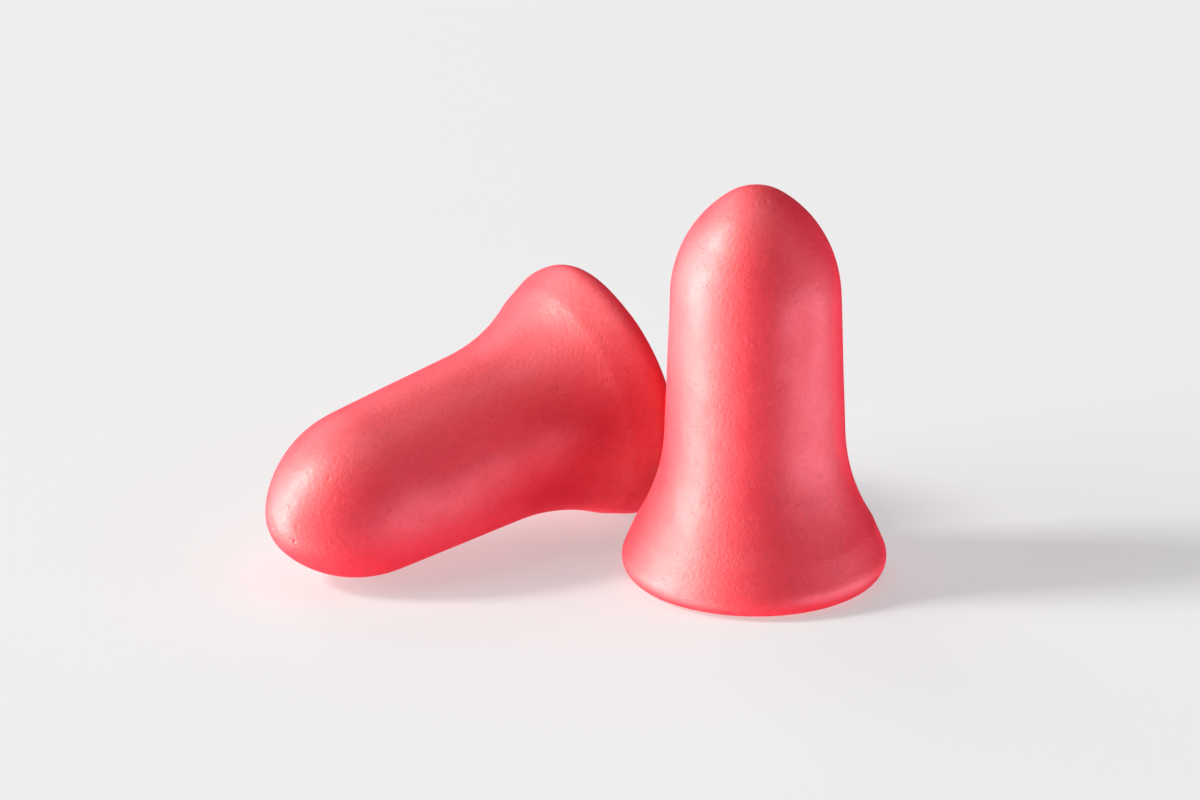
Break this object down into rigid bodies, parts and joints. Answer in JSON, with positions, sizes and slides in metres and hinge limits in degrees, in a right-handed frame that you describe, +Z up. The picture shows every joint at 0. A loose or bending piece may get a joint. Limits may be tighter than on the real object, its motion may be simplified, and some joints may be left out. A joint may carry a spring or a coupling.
{
  "type": "foam ear plugs",
  "caption": "Bell-shaped soft foam ear plugs, each with a flat flared base, a slim tapered stem and a rounded nose, left loose beside each other: one standing, one lying.",
  "frame": {"origin": "on the table, under the middle of the box around the pair", "axes": "+Z up along the upright plug's axis, +X across the pair from the lying plug to the upright one, +Y away from the viewer"},
  "size_m": [0.0378, 0.025, 0.025],
  "materials": {
    "foam": "soft slow-recovery polyurethane foam, coral red all through, with a smooth satin moulded skin and very fine pores"
  },
  "bodies": {
    "upright_plug": {"upright_plug": "foam"},
    "lying_plug": {"lying_plug": "foam"}
  },
  "joints": [
    {"name": "lying_plug_lift", "type": "slide", "parent": "upright_plug", "child": "lying_plug", "axis": [0, 0, 1], "range_m": [0, 0.03]}
  ]
}
